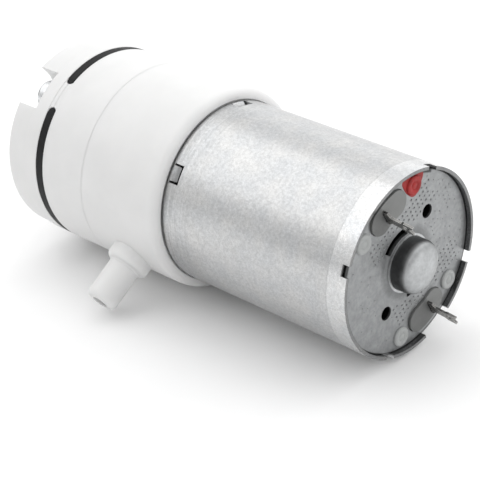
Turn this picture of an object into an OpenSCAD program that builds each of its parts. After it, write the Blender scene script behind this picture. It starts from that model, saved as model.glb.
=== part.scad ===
// Mini diaphragm air pump: a brushed motor that wobbles three rubber cups.
// It lies on its side. +X runs from the motor's terminals to the outlet, +Z is up,
// and the origin is on the motor's axis, halfway along its can.

/* [Motor can] */
// Outer radius of the can
can_r = 12.2; // [11.8:0.1:12.8]
// Length of the can, rear rim to front face
can_l = 30.8; // [29:0.1:38]
// Wall of the can
can_wall = 0.9; // [0.75:0.05:1]
// Wall of the can's mouth, where the end plate sits
mouth_wall = 0.45; // [0.35:0.05:0.7]
// Thickness of the can's front
front_t = 1; // [0.8:0.1:1.2]
// Rounding of the can's front edge
can_edge_r = 1; // [0.4:0.1:1.1]
// Turn of the motor about its axis, from +Y to its first insert
motor_turn = 63; // [55:1:71]
// Height of the boss round the front bushing
nose_h = 1.6; // [1.2:0.1:2]
// Wall of the front boss
nose_wall = 0.55; // [0.4:0.05:0.7]
// Length of a pressed stop's slot
stop_l = 1.5; // [0.8:0.1:1.6]
// Arc of a pressed stop's slot, in degrees
stop_arc = 12; // [8:1:16]
// Angle of a pressed stop from the line through the inserts
stop_side = 33; // [30:1:38]
// Distance of the slots' rear ends from the can's front face
stop_back = 2.4; // [2.2:0.1:2.8]
// Depth of a stop's pressed tongue below the can's outside
stop_sink = 0.65; // [0.4:0.05:0.8]
// Thickness of a stop's tongue
stop_t = 0.5; // [0.4:0.05:0.6]

/* [End plate and brush gear] */
// Thickness of the end plate
plate_t = 1; // [0.8:0.1:1.2]
// Depth of the end plate below the rim
plate_inset = 0.7; // [0.5:0.1:0.9]
// Radius of the bearing boss on the end plate
boss_r = 3.45; // [3.3:0.05:3.6]
// Metal thickness of the bearing boss
boss_wall = 0.5; // [0.4:0.05:0.6]
// Inner radius of the crescent vents
vent_r = 4; // [3.9:0.05:4.2]
// Width of the crescent vents
vent_w = 0.9; // [0.6:0.1:1.1]
// Arc of a crescent vent, in degrees
vent_arc = 54; // [40:1:80]
// Radius of the two round holes in the end plate
eye_r = 0.9; // [0.6:0.05:1.1]
// Distance of the round holes from the axis
eye_place = 6.6; // [6.4:0.1:6.8]
// Distance of the terminals from the axis
lug_place = 9.1; // [8.9:0.1:9.3]
// Length of a terminal outside its insert
lug_out = 3.9; // [3.5:0.1:6]
// Width of a terminal
lug_w = 1.5; // [1.3:0.1:1.9]
// Width of a terminal's shoulders
shoulder_w = 2.2; // [1.9:0.1:2.6]
// Thickness of a terminal
lug_t = 0.3; // [0.2:0.05:0.4]
// Lean of the terminals, in degrees
lug_lean = 12; // [0:1:14]
// Angle of the terminals and vents behind the middle of the inserts
lug_lag = 4.5; // [0:0.5:5]
// Half width of the plastic insert round a terminal
insert_w = 1.75; // [1.5:0.05:1.8]
// Arc of a plastic insert between its end centres, in degrees
insert_arc = 19; // [14:1:22]
// Distance of the rivets from the axis
rivet_place = 10; // [9.9:0.05:10.1]
// Radius of a rivet's head
rivet_head_r = 1.3; // [1:0.05:1.3]
// Radius of a rivet's shank
rivet_r = 0.7; // [0.5:0.05:0.8]
// Thickness of the brush holder's ring
holder_t = 1.1; // [1:0.1:1.4]
// Arc of a small notch in the rim, in degrees
notch_arc = 7; // [4:1:10]
// Arc of the wide notch in the rim, in degrees
wide_notch_arc = 23; // [16:1:28]
// Angle of the rim's notches behind the middle of the inserts
notch_lag = 2.5; // [0:0.5:4]

/* [Rotor] */
// Radius of the shaft
shaft_r = 1; // [0.8:0.05:1.1]
// Length of a bushing
bush_l = 2.7; // [2.2:0.1:3]
// Radius of the commutator
comm_r = 2.6; // [2.4:0.05:2.8]
// Length of the commutator's copper
comm_l = 4.4; // [4:0.1:5]
// Number of poles, and of commutator bars
poles = 3; // [3:1:3]
// Radius of the armature
core_r = 8; // [7.6:0.1:8.2]
// Gap between the armature and the magnets
air_gap = 0.35; // [0.3:0.05:0.5]
// Width of a pole's arm
pole_w = 2.2; // [1.8:0.1:2.6]
// Thickness of a pole's shoe
shoe_t = 1.2; // [0.9:0.1:1.4]
// Thickness of a winding on one side of its arm
coil_t = 2.1; // [1.5:0.1:2.4]
// Height of a winding beyond the armature's end
coil_end = 2.2; // [1.6:0.1:2.4]
// Arc of a magnet, in degrees
magnet_arc = 124; // [110:1:132]

/* [Pump head] */
// Outer radius of the crankcase, the seat and the cover's flange
head_r = 13.6; // [13.4:0.1:14.4]
// Distance from the can's front to the crankcase's front face
crank_l = 13.1; // [12.6:0.1:16]
// Thickness of the crankcase's floor
floor_t = 2.2; // [1.8:0.1:2.6]
// Depth of the lip that hoods the can
lip_l = 0.5; // [0.3:0.1:0.8]
// Rounding of the crankcase's rear edge
lip_r = 1.2; // [0.6:0.1:1.2]
// Wall of the crank chamber
head_wall = 2.4; // [2:0.1:2.6]
// Length of the diaphragm seat
seat_l = 7.7; // [7.2:0.1:10]
// Thickness of the deck that holds the pockets
deck_t = 4.2; // [3:0.1:4.6]
// Thickness of the rubber sheet
rubber_t = 1.4; // [1.1:0.1:1.6]
// Thickness of the valve plate
valve_t = 1.8; // [1.6:0.1:2.2]
// Length of the cover
cover_l = 6; // [5.4:0.1:7]
// Thickness of the cover's flange
flange_t = 2.4; // [2.2:0.1:2.8]
// Step from the flange to the crown
crown_step = 0.2; // [0.1:0.05:0.4]

/* [Cups and drive] */
// Distance of the cups' middles from the head's outer wall
cup_edge = 6.9; // [6.8:0.05:7]
// Radius of a pocket in the seat
pocket_r = 4.4; // [4.1:0.05:4.5]
// Wall of a rubber cup
cup_wall = 0.6; // [0.5:0.05:0.8]
// Radius of a cup's stem
stem_r = 0.75; // [0.6:0.05:0.9]
// Slant of the crank pin, in degrees
slant = 5; // [3:0.5:5.5]
// Direction of the slant about the axis
slant_turn = 107; // [0:1:359]
// Radius of the crank pin
pin_r = 0.8; // [0.7:0.05:0.9]
// Radius of the eccentric
eccentric_r = 4.4; // [3.6:0.1:5]
// Length of the eccentric
eccentric_l = 6.2; // [6:0.1:6.8]
// Thickness of the rocker's arms
arm_t = 1.6; // [1.2:0.1:1.8]
// Width of the rocker's arms
arm_w = 2.2; // [1.6:0.1:2.8]

/* [Screws] */
// Direction of the first cover screw about the axis
screw_turn = 47; // [44:1:50]
// Distance of the cover screws from the head's outer wall
screw_edge = 2.2; // [2.1:0.05:2.3]
// Radius of a cover screw's shank
screw_r = 1; // [0.8:0.05:1.1]
// Radius of a cover screw's head
screw_head_r = 2.1; // [1.8:0.05:2.3]
// Height of a cover screw's head
screw_head_h = 1.5; // [1.1:0.1:1.7]
// Length of a cover screw under its head
screw_l = 16; // [14:0.5:18]
// Width of the notch that a screw's head sits in
notch_w = 5.6; // [5.2:0.1:6]
// Width of the bridge beside a cover screw
bridge_w = 3.8; // [3.4:0.1:4.2]
// Distance of the motor screws from the axis
motor_screw_place = 8; // [7.9:0.05:8.1]
// Radius of a motor screw's shank
motor_screw_r = 1.2; // [1:0.05:1.25]
// Radius of a motor screw's head
motor_screw_head_r = 1.9; // [1.6:0.05:2]
// Height of a motor screw's head
motor_screw_head_h = 1.3; // [1:0.1:1.6]

/* [Nozzles] */
// Outer radius of the nozzles
nozzle_r = 2.15; // [1.9:0.05:2.4]
// Radius of the nozzles' bores
nozzle_bore_r = 1.1; // [0.8:0.05:1.3]
// Rounding of a nozzle's tip
tip_r = 0.7; // [0.4:0.05:0.8]
// Direction of the side nozzle about the axis
side_turn = -37; // [-42:1:-32]
// Distance of the side nozzle from the can's front face
side_place = 6.6; // [6.4:0.1:7]
// Distance of the side nozzle's tip from the axis
side_reach = 21; // [19.5:0.1:26]
// Radius of the side nozzle's root
root_r = 3; // [2.7:0.1:3.3]
// Distance of the root's shoulder from the axis
root_reach = 15.3; // [15.1:0.1:16.6]
// Fillet where a nozzle leaves its shoulder
root_fillet = 0.25; // [0.15:0.05:0.4]
// Length of the outlet nozzle in front of the cover
outlet_l = 7.5; // [6:0.1:14]

/* [Hidden] */
$fn = 64;
fine_fn = 32;

// Clearances
slip = 0.05;
run_gap = 0.03;
brush_gap = 0.08;
seat_gap = 0.1;
cut = 0.01;
over = 1;

// Motor stations along the axis, from the rear rim
plate_in = plate_inset + plate_t;
mouth_r = can_r - mouth_wall;
bore_r = can_r - can_wall;
mouth_s = plate_in + holder_t;
front_in = can_l - front_t;
stop_s = can_l - stop_back;
stop_end = stop_s + stop_l;
tongue_s = stop_s + stop_l / 2;
stop_slit = 1.2;
nose_end = can_l + nose_h;
bush_r = boss_r - boss_wall - slip;
front_bush_r = 2.5;
nose_r = front_bush_r + slip + nose_wall;
bush_room = 0.4;
boss_floor = plate_in - bush_l - bush_room;
boss_end = boss_floor - boss_wall;
boss_round = 1.1;
boss_cap = 0.25;
foot_h = 0.3;
foot_w = 0.25;
foot_slope = 0.85;
eye_side = 59;
rivet_side = 30;
rivet_head_h = 0.35;
notch_depth = 0.95;
holder_in = lug_place - insert_w - 0.15;
insert_out = 0.3;
insert_s = plate_inset - insert_out;
lug_hole_r = 0.38;
lug_neck = 0.55;
lug_tip = 1.1;
fork_w = 0.75;
shoulder_l = 0.9;
post_w = 2.6;
arm_s = mouth_s + 0.8;
arm_l = 2.2;
arm_end = arm_s + arm_l;
leaf_t = 0.2;
leaf_d = comm_r + 1.3;
leaf_past = 1.6;
brush_w = 1.8;

// Rotor stations
washer_t = 0.6;
washer_r = 2;
rear_washer_s = plate_in + slip;
rear_washer_end = rear_washer_s + washer_t;
comm_lead = 0.65;
comm_s = rear_washer_end + comm_lead;
comm_end = comm_s + comm_l;
comm_core_r = comm_r - 0.6;
bar_gap = 0.4;
tang_in = comm_core_r + 0.3;
tang_r = comm_r + 1.1;
tang_w = 1.2;
tang_l = 0.8;
varistor_t = 0.8;
varistor_r = comm_r + 2;
coil_s = comm_end + varistor_t + 0.8;
core_s = coil_s + coil_end;
front_bush_s = nose_end - bush_l;
front_washer_s = front_bush_s - slip - washer_t;
coil_front = front_washer_s - 1.6;
core_end = coil_front - coil_end;
core_l = core_end - core_s;
core_hub_r = shaft_r + 1.6;
shoe_in = core_r - shoe_t;
shoe_gap = 14;
insulator_t = 0.5;
collar_r = shaft_r + 0.6;
coil_in = core_hub_r + 0.3;
magnet_in = core_r + air_gap;
magnet_s = comm_end + 0.6;
magnet_end = tongue_s - seat_gap;
clip_t = 0.35;
clip_gap = 0.3;
clip_short = 2;

// Pump stations
floor_s = can_l + floor_t;
case_end = can_l + crank_l;
chamber_r = head_r - head_wall;
motor_screw_l = floor_t + front_t + 0.3;
root_in = head_r - head_wall / 2;
root_round = 0.8;
pillar_r = bridge_w / 2;
seat_end = case_end + seat_l;
deck_s = seat_end - deck_t;
rubber_end = seat_end + rubber_t;
bridge_s = seat_end + rubber_t / 2;
valve_end = rubber_end + valve_t;
cover_end = rubber_end + cover_l;
flange_end = rubber_end + flange_t;
crown_r = head_r - crown_step;
notch_s = flange_end - crown_step;
screw_end = notch_s - screw_l;
screw_place = head_r - screw_edge;
screw_spare = 0.5;
arm_turn = screw_turn + 60;
mark_place = head_r - 4.2;
mark_w = 1.5;
mark_arc = 36;
mark_depth = 0.8;
outlet_step = 0.9;
outlet_foot_r = root_r + 1;

// Drive stations
cup_place = head_r - cup_edge;
eccentric_s = nose_end + 1.2;
eccentric_end = eccentric_s + eccentric_l;
shaft_end = eccentric_s + 2.8;
pin_s = shaft_end + 0.6;
pivot_s = case_end + 1.5;
arm_bottom = pivot_s - arm_t / 2;
arm_top = pivot_s + arm_t / 2;
hub_s = eccentric_end + 1.2;
hub_end = pivot_s + 1.45;
hub_r = 2;
skirt_r = hub_r + 0.7;
rib_h = 1.4;
rib_w = 0.8;
pin_end = hub_end - 0.8;
groove_w = 1;
groove_arc = 50;
pad_r = stem_r + 1.15;
stem_gap = 0.12;
plug_r = 2;
plug_in = 0.35;
bulb_r = stem_r + 0.5;
bulb_l = 1.3;
cup_r = pocket_r - seat_gap;
cup_in_r = cup_r - cup_wall;

// Valve gallery
outlet_hole_r = 0.4;
outlet_hole_place = cup_place - cup_in_r + 0.3;
flap_r = outlet_hole_place + outlet_hole_r + 0.25;
flap_t = 0.5;
outlet_room_r = flap_r + 0.55;
outlet_room_l = 2.4;
gallery_in = outlet_room_r + 1.2;
gallery_out = head_r - 5.1;
gallery_l = 1.9;
gallery_wall = 0.9;
inlet_place = (gallery_in + gallery_out) / 2;
inlet_ring_r = 0.95;
inlet_hole_r = 0.26;
inlet_holes = 6;
umbrella_r = 1.5;
umbrella_t = 0.4;
peg_r = 0.4;
knob_r = 0.7;
channel_place = (gallery_in + screw_place - notch_w / 2 - gallery_wall) / 2;
channel_r = 0.8;
seal_r = 0.4;
seal_place = (outlet_room_r + gallery_in) / 2;
plate_r = head_r - 1.6;
plate_scallop = bridge_w / 2 + 0.3;

// Lays the pump on its side: local z along +X, local x along +Y, local y along +Z
module lie() {
    translate([-can_l / 2, 0, 0])
        rotate([90, 0, 90])
            children();
}

// Repeats a child round the axis at a list of angles
module at_angles(angles) {
    for (a = angles)
        rotate([0, 0, a])
            children();
}

// The crank pin's frame: the axis slanted about the rocker's pivot
module slanted() {
    translate([0, 0, pivot_s])
        rotate([0, 0, slant_turn])
            rotate([0, -slant, 0])
                rotate([0, 0, -slant_turn])
                    translate([0, 0, -pivot_s])
                        children();
}

module rod(r, from, to) {
    translate([0, 0, from])
        cylinder(r = r, h = to - from);
}

module tube(r_out, r_in, from, to) {
    difference() {
        rod(r_out, from, to);
        rod(r_in, from - over, to + over);
    }
}

// Part of a ring, centred on local x
module ring_part(r_in, r_out, arc, from, to) {
    rotate([0, 0, -arc / 2])
        rotate_extrude(angle = arc)
            translate([r_in, from])
                square([r_out - r_in, to - from]);
}

// Ring part with round ends, centred on local x
module bean(place, half_w, arc, from, to) {
    ring_part(place - half_w, place + half_w, arc, from, to);
    for (a = [-arc / 2, arc / 2])
        rotate([0, 0, a])
            translate([place, 0, 0])
                rod(half_w, from, to);
}

// Spherical cap that rises along +z from z = 0
module cap(r, h) {
    ball_r = (r * r + h * h) / (2 * h);
    intersection() {
        translate([0, 0, h - ball_r])
            sphere(r = ball_r);
        cylinder(r = r, h = h + cut);
    }
}

// Solid of revolution with its far edge rounded
module rounded_rod(r, from, to, edge) {
    rotate_extrude()
        difference() {
            translate([0, from])
                square([r, to - from]);
            translate([r - edge, to - edge])
                difference() {
                    square([edge + cut, edge + cut]);
                    circle(r = edge);
                }
        }
}

function insert_angles() = [motor_turn, motor_turn + 180];
function lug_angles() = [for (t = insert_angles()) t - lug_lag];
function notch_angles() = [for (t = insert_angles()) t - notch_lag];
function rivet_angles() = [for (t = insert_angles(), s = [-1, 1]) t + s * rivet_side];
function red_angle() = motor_turn + rivet_side;
function stop_angles() = [for (t = insert_angles(), s = [-1, 1]) t + s * stop_side];
function screw_angles() = [for (i = [0 : 2]) screw_turn + i * 120];
function cup_angles() = [for (i = [0 : 2]) arm_turn + i * 120];

// How far the slant lifts a cup's centre along the axis
function lift(angle) = cup_place * sin(slant) * cos(angle - slant_turn);

// Motor

// Wall of the can pressed in behind a slot, as a ramp down to the magnets' front ends
module tongue(arc) {
    rotate([0, 0, -arc / 2])
        rotate_extrude(angle = arc)
            polygon([[can_r - slip, stop_end + cut], [can_r - slip - stop_t, stop_end + cut],
                     [can_r - stop_sink - stop_t, tongue_s], [can_r - stop_sink, tongue_s]]);
}

module motor_can() {
    color("silver") lie() {
        difference() {
            rounded_rod(can_r, 0, can_l, can_edge_r);
            rod(mouth_r, -over, mouth_s);
            rod(bore_r, mouth_s - cut, front_in);
            rod(front_bush_r + slip, front_in - over, nose_end + over);
            at_angles(stop_angles())
                ring_part(bore_r - cut, can_r + over, stop_arc, stop_s, stop_end);
            at_angles([for (t = notch_angles(), s = [-45, 45]) t + s])
                ring_part(mouth_r - cut, can_r + over, notch_arc, -over, notch_depth);
            rotate([0, 0, notch_angles()[1]])
                ring_part(mouth_r - cut, can_r + over, wide_notch_arc, -over, notch_depth);
            at_angles(insert_angles())
                translate([motor_screw_place, 0, 0])
                    rod(motor_screw_r + slip, front_in - over, can_l + over);
        }
        at_angles(stop_angles())
            tongue(stop_arc - 2 * stop_slit);
        tube(nose_r, front_bush_r + slip, can_l - cut, nose_end);
    }
}

module end_plate() {
    color("darkgray") lie() difference() {
        union() {
            rod(mouth_r - slip, plate_inset, plate_in);
            mirror([0, 0, 1])
                rounded_rod(boss_r, -plate_inset, -boss_end, boss_round);
            translate([0, 0, boss_end])
                mirror([0, 0, 1])
                    cap(boss_r - boss_round, boss_cap);
            rotate_extrude()
                polygon([[0, plate_inset - foot_h], [boss_r + foot_w, plate_inset - foot_h],
                         [boss_r + foot_w + foot_slope, plate_inset], [0, plate_inset]]);
        }
        rod(boss_r - boss_wall, boss_floor, plate_in + over);
        at_angles(lug_angles())
            ring_part(vent_r, vent_r + vent_w, vent_arc, plate_inset - over, plate_in + over);
        at_angles([for (t = insert_angles()) t + eye_side])
            translate([eye_place, 0, 0])
                rod(eye_r, -over, plate_in + over);
        at_angles(insert_angles())
            bean(lug_place, insert_w + slip, insert_arc, -over, plate_in + over);
        at_angles(rivet_angles())
            translate([rivet_place, 0, 0])
                rod(rivet_r + slip, -over, plate_in + over);
    }
}

// Rivet through the end plate and the brush holder, at local [place, 0]
module rivet() {
    translate([rivet_place, 0, 0]) {
        rod(rivet_r, plate_inset - cut, mouth_s + cut);
        translate([0, 0, plate_inset])
            mirror([0, 0, 1])
                cap(rivet_head_r, rivet_head_h);
        translate([0, 0, mouth_s])
            cap(rivet_r + 0.35, rivet_head_h);
    }
}

module plate_rivets() {
    color("lightgray") lie()
        at_angles([for (a = rivet_angles()) if (a != red_angle()) a])
            rivet();
}

module polarity_rivet() {
    color("red") lie()
        rotate([0, 0, red_angle()])
            rivet();
}

module brush_holder() {
    color("dimgray") lie() difference() {
        union() {
            tube(mouth_r - seat_gap, holder_in, plate_in, mouth_s);
            at_angles(insert_angles())
                bean(lug_place, insert_w, insert_arc, insert_s, mouth_s - holder_t / 2);
            at_angles(lug_angles())
                translate([lug_place - post_w / 2, -post_w / 2, plate_in + holder_t / 3])
                    cube([post_w, post_w, arm_s - plate_in - holder_t / 3]);
        }
        at_angles(rivet_angles())
            translate([rivet_place, 0, 0])
                rod(rivet_r + slip, plate_in - over, mouth_s + over);
        at_angles(lug_angles())
            translate([lug_place - lug_w / 2 - slip, -lug_t / 2 - slip, plate_inset - over])
                cube([lug_w + 2 * slip, lug_t + 2 * slip, arm_end]);
    }
}

// Flat terminal with shoulders, an eye and a forked tip, at local [place, 0], leaning by angle
module terminal(angle) {
    eye = lug_out - lug_tip;
    base = shoulder_w / 2 * tan(angle);
    translate([lug_place, 0, 0]) {
        translate([-lug_w / 2, -lug_t / 2, insert_s - slip])
            cube([lug_w, lug_t, arm_end - insert_s + slip]);
        translate([0, 0, insert_s])
            rotate([0, angle, 0])
                rotate([90, 0, 0])
                    linear_extrude(height = lug_t, center = true)
                        difference() {
                            union() {
                                polygon([[-shoulder_w / 2, -base], [-shoulder_w / 2, -shoulder_l / 2],
                                         [-lug_neck, -shoulder_l], [lug_neck, -shoulder_l],
                                         [shoulder_w / 2, -shoulder_l / 2], [shoulder_w / 2, base]]);
                                translate([-lug_neck, -eye])
                                    square([2 * lug_neck, eye - shoulder_l + cut]);
                                translate([0, -eye])
                                    circle(r = lug_w / 2, $fn = fine_fn);
                                translate([-lug_w / 2, -lug_out])
                                    square([lug_w, lug_tip]);
                            }
                            translate([0, -eye])
                                circle(r = lug_hole_r, $fn = fine_fn);
                            translate([0, -lug_out])
                                rotate(45)
                                    square(fork_w, center = true);
                        }
    }
}

module terminals() {
    color("gainsboro") lie() {
        rotate([0, 0, lug_angles()[0]])
            terminal(lug_lean);
        rotate([0, 0, lug_angles()[1]])
            terminal(-lug_lean);
    }
}

// Direction square to a brush's leaf, from the terminal that holds it
leaf_side = acos((leaf_d + leaf_t / 2) / lug_place);
leaf_l = lug_place * sin(leaf_side);

module brush_arms() {
    foot = lug_w - 2 * slip;
    color("peru") lie()
        at_angles(lug_angles())
            translate([0, 0, arm_s])
                linear_extrude(height = arm_l) {
                    difference() {
                        rotate(leaf_side)
                            translate([leaf_d, -leaf_l])
                                square([leaf_t, leaf_l + leaf_past]);
                        translate([lug_place - lug_w, -over])
                            square([2 * lug_w, over + lug_t / 2]);
                    }
                    translate([lug_place - foot / 2, lug_t / 2])
                        square([foot, leaf_t]);
                }
}

module carbon_brushes() {
    color("black") lie()
        at_angles([for (t = lug_angles()) t + leaf_side])
            difference() {
                translate([0, -brush_w / 2, arm_s + slip])
                    cube([leaf_d, brush_w, arm_l - 2 * slip]);
                rod(comm_r + brush_gap, arm_s - over, arm_end + over);
            }
}

module magnets() {
    color("gray") lie()
        at_angles([motor_turn + 90, motor_turn - 90])
            ring_part(magnet_in, bore_r - slip, magnet_arc, magnet_s, magnet_end);
}

// Bent spring strip that spreads the two magnets apart
module magnet_clips() {
    side = (180 - magnet_arc) / 2 - clip_gap / magnet_in * 90;
    leg = clip_t / magnet_in * 60;
    out_r = bore_r - slip;
    clip_s = magnet_s + clip_short;
    clip_end = magnet_end - clip_short;
    color("lightsteelblue") lie()
        at_angles(insert_angles()) {
            ring_part(out_r - clip_t, out_r, 2 * side, clip_s, clip_end);
            for (s = [-1, 1])
                rotate([0, 0, s * (side - leg / 2)])
                    ring_part(magnet_in + clip_t, out_r - clip_t / 2, leg, clip_s, clip_end);
        }
}

module rear_bushing() {
    color("goldenrod") lie()
        tube(bush_r, shaft_r + run_gap, plate_in - bush_l, plate_in);
}

module front_bushing() {
    color("goldenrod") lie()
        tube(front_bush_r, shaft_r + run_gap, front_bush_s, nose_end);
}

// Rotor

module shaft() {
    color("white") lie()
        rod(shaft_r, boss_floor + 0.15, shaft_end);
}

// Outline of the laminations
module core_outline() {
    difference() {
        union() {
            circle(r = core_hub_r);
            for (i = [0 : poles - 1])
                rotate(i * 360 / poles) {
                    translate([0, -pole_w / 2])
                        square([shoe_in + shoe_t / 2, pole_w]);
                    intersection() {
                        difference() {
                            circle(r = core_r);
                            circle(r = shoe_in);
                        }
                        wedge(360 / poles - shoe_gap, core_r + over);
                    }
                }
        }
        circle(r = shaft_r + cut);
    }
}

// Flat wedge centred on local x, for arcs under 180 degrees
module wedge(arc, reach) {
    side = reach * tan(arc / 2);
    polygon([[0, 0], [reach, -side], [reach, side]]);
}

module armature_core() {
    color("slategray") lie()
        translate([0, 0, core_s])
            linear_extrude(height = core_l)
                core_outline();
}

// End board of the armature with a collar up to the next piece on the shaft
module insulator(from, collar_from, collar_to) {
    translate([0, 0, from])
        linear_extrude(height = insulator_t)
            core_outline();
    tube(collar_r, shaft_r + cut, collar_from, collar_to);
}

module core_insulators() {
    color("steelblue") lie() {
        insulator(core_s - insulator_t, comm_end + varistor_t, core_s - cut);
        insulator(core_end, core_end + cut, front_washer_s);
    }
}

module windings() {
    arm_room = insulator_t + slip;
    color("chocolate") lie()
        at_angles([for (i = [0 : poles - 1]) i * 360 / poles])
            difference() {
                translate([0, 0, coil_s])
                    linear_extrude(height = coil_front - coil_s)
                        intersection() {
                            circle(r = shoe_in - seat_gap);
                            translate([coil_in, -pole_w / 2 - coil_t])
                                square([core_r, pole_w + 2 * coil_t]);
                        }
                translate([0, -pole_w / 2 - slip, core_s - arm_room])
                    cube([core_r, pole_w + 2 * slip, core_l + 2 * arm_room]);
            }
}

module commutator_hub() {
    color("saddlebrown") lie() difference() {
        union() {
            rod(comm_core_r - cut, comm_s, comm_end);
            rod(collar_r, rear_washer_end, comm_s + cut);
            rod(comm_core_r - cut, comm_end - cut, comm_end + varistor_t);
        }
        rod(shaft_r + cut, 0, comm_end + varistor_t + over);
    }
}

module commutator_bars() {
    color("orange") lie() difference() {
        union() {
            tube(comm_r, comm_core_r, comm_s, comm_end);
            for (i = [0 : poles - 1])
                rotate([0, 0, i * 360 / poles])
                    translate([tang_in, -tang_w / 2, comm_end - tang_l])
                        cube([tang_r - tang_in, tang_w, tang_l]);
        }
        for (i = [0 : poles - 1])
            rotate([0, 0, (i + 0.5) * 360 / poles])
                translate([0, -bar_gap / 2, comm_s - over])
                    cube([comm_r + over, bar_gap, comm_l + 2 * over]);
    }
}

module varistor() {
    color("darkslategray") lie()
        tube(varistor_r, comm_core_r + slip, comm_end, comm_end + varistor_t);
}

module thrust_washers() {
    color("ivory") lie() {
        tube(washer_r, shaft_r + cut, rear_washer_s, rear_washer_end);
        tube(washer_r, shaft_r + cut, front_washer_s, front_bush_s - slip);
    }
}

// Pump drive

module eccentric() {
    rim = 0.6;
    groove_r = eccentric_r - rim - groove_w;
    groove_s = eccentric_s + 2;
    color("whitesmoke") lie() difference() {
        rod(eccentric_r, eccentric_s, eccentric_end);
        rod(shaft_r + cut, eccentric_s - over, shaft_end + cut);
        slanted()
            rod(pin_r + cut, pin_s - cut, eccentric_end + over);
        // Groove that leaves a counterweight opposite the pin's foot
        rotate([0, 0, slant_turn])
            for (s = [-1, 1])
                rotate([0, 0, s * 60])
                    ring_part(groove_r, groove_r + groove_w, groove_arc, groove_s, eccentric_end + over);
    }
}

module crank_pin() {
    color("silver") lie()
        slanted()
            rod(pin_r, pin_s, pin_end);
}

// Three arms that end in round pads
module arms_outline() {
    circle(r = skirt_r);
    for (a = cup_angles())
        rotate(a) {
            translate([0, -arm_w / 2])
                square([cup_place, arm_w]);
            translate([cup_place, 0])
                circle(r = pad_r);
        }
}

module rocker() {
    color("white") lie() slanted() difference() {
        union() {
            rod(hub_r, hub_s, hub_end);
            rod(skirt_r, arm_bottom - rib_h, pivot_s);
            translate([0, 0, arm_bottom])
                linear_extrude(height = arm_t)
                    arms_outline();
            at_angles(cup_angles())
                translate([0, -rib_w / 2, arm_bottom - rib_h / 2])
                    cube([cup_place - pad_r, rib_w, rib_h]);
        }
        rod(pin_r + run_gap, hub_s - over, pin_end + seat_gap);
        at_angles(cup_angles())
            translate([cup_place, 0, 0])
                rod(stem_r + stem_gap, arm_bottom - over, arm_top + over);
    }
}

// Pump head

// Outline of the room round a cover screw, round on the inside and open to the outside
module room_outline(half_w) {
    translate([screw_place, 0])
        circle(r = half_w);
    translate([screw_place, -half_w])
        square([head_r, 2 * half_w]);
}

module screw_room(half_w, from, to) {
    translate([0, 0, from])
        linear_extrude(height = to - from)
            room_outline(half_w);
}

// Hollow of the crank chamber, between the screw pillars
module chamber(from, to) {
    translate([0, 0, from])
        linear_extrude(height = to - from)
            difference() {
                circle(r = chamber_r);
                for (a = screw_angles())
                    rotate(a)
                        room_outline(pillar_r);
            }
}

// Screw room that ends just inside the head's outer wall
module pillar(half_w, from, to) {
    intersection() {
        screw_room(half_w, from, to);
        rod(head_r - slip, from, to);
    }
}

// Nozzle along local z with a rounded tip and a fillet on its shoulder
module nozzle(from, shoulder, to) {
    rounded_rod(nozzle_r, from, to, tip_r);
    translate([0, 0, shoulder - cut])
        cylinder(r1 = nozzle_r + root_fillet + cut, r2 = nozzle_r, h = root_fillet + cut);
}

// Points a child's z axis outwards, square to the pump's axis at a station
module outward(turn, station) {
    translate([0, 0, station])
        rotate([0, 0, turn])
            rotate([0, 90, 0])
                children();
}

module crankcase() {
    lip_s = can_l - lip_l;
    side_s = can_l + side_place;
    color("white") lie() difference() {
        union() {
            translate([0, 0, lip_s + case_end])
                mirror([0, 0, 1])
                    rounded_rod(head_r, lip_s, case_end, lip_r);
            outward(side_turn, side_s)
                rounded_rod(root_r, root_in, root_reach, root_round);
            outward(side_turn, side_s)
                nozzle(root_in, root_reach, side_reach);
        }
        chamber(floor_s, case_end + over);
        rod(can_r + seat_gap, lip_s - over, can_l);
        rod(nose_r + seat_gap, can_l - over, floor_s + over);
        at_angles(insert_angles())
            translate([motor_screw_place, 0, 0])
                rod(motor_screw_r + slip, can_l - over, floor_s + over);
        at_angles(screw_angles())
            translate([screw_place, 0, 0])
                rod(screw_r + slip, screw_end - screw_spare, case_end + over);
        outward(side_turn, side_s)
            rod(nozzle_bore_r, chamber_r - over, side_reach + over);
    }
}

// Half of the white bridge beside a screw, with hollow ends that hold the rubber's round ends
module bridge(from, to) {
    end_r = rubber_t / 2;
    difference() {
        pillar(pillar_r + end_r, from, to);
        for (s = [-1, 1])
            translate([0, s * (pillar_r + end_r), bridge_s])
                rotate([0, 90, 0])
                    rod(end_r + slip, 0, head_r + over);
    }
}

module diaphragm_seat() {
    color("snow") lie() difference() {
        union() {
            rod(head_r, case_end, seat_end);
            at_angles(screw_angles())
                bridge(seat_end - cut, bridge_s);
        }
        chamber(case_end - over, deck_s);
        at_angles(screw_angles()) {
            translate([screw_place, 0, 0])
                rod(screw_r + slip, case_end - over, bridge_s + over);
            translate([channel_place, 0, 0])
                rod(channel_r, deck_s - over, seat_end + over);
        }
        at_angles(cup_angles())
            translate([cup_place, 0, 0])
                rod(pocket_r, deck_s - over, seat_end + over);
    }
}

// One rubber cup: a rolled wall that narrows to its foot, the foot lifted along the axis
module cup(rise) {
    foot_s = arm_top + stem_gap + rise + 0.25;
    bend = 1.2;
    translate([cup_place, 0, 0])
        rotate_extrude()
            difference() {
                polygon([[0, foot_s], [plug_r, foot_s], [cup_r - 0.3, foot_s + bend],
                         [cup_r, foot_s + 2 * bend], [cup_r, rubber_end], [0, rubber_end]]);
                polygon([[0, foot_s + cup_wall + 0.3], [plug_r - 0.2, foot_s + cup_wall + 0.3],
                         [cup_in_r - 0.3, foot_s + bend + cup_wall],
                         [cup_in_r, foot_s + 2 * bend + cup_wall / 2],
                         [cup_in_r, rubber_end + over], [0, rubber_end + over]]);
            }
}

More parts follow.
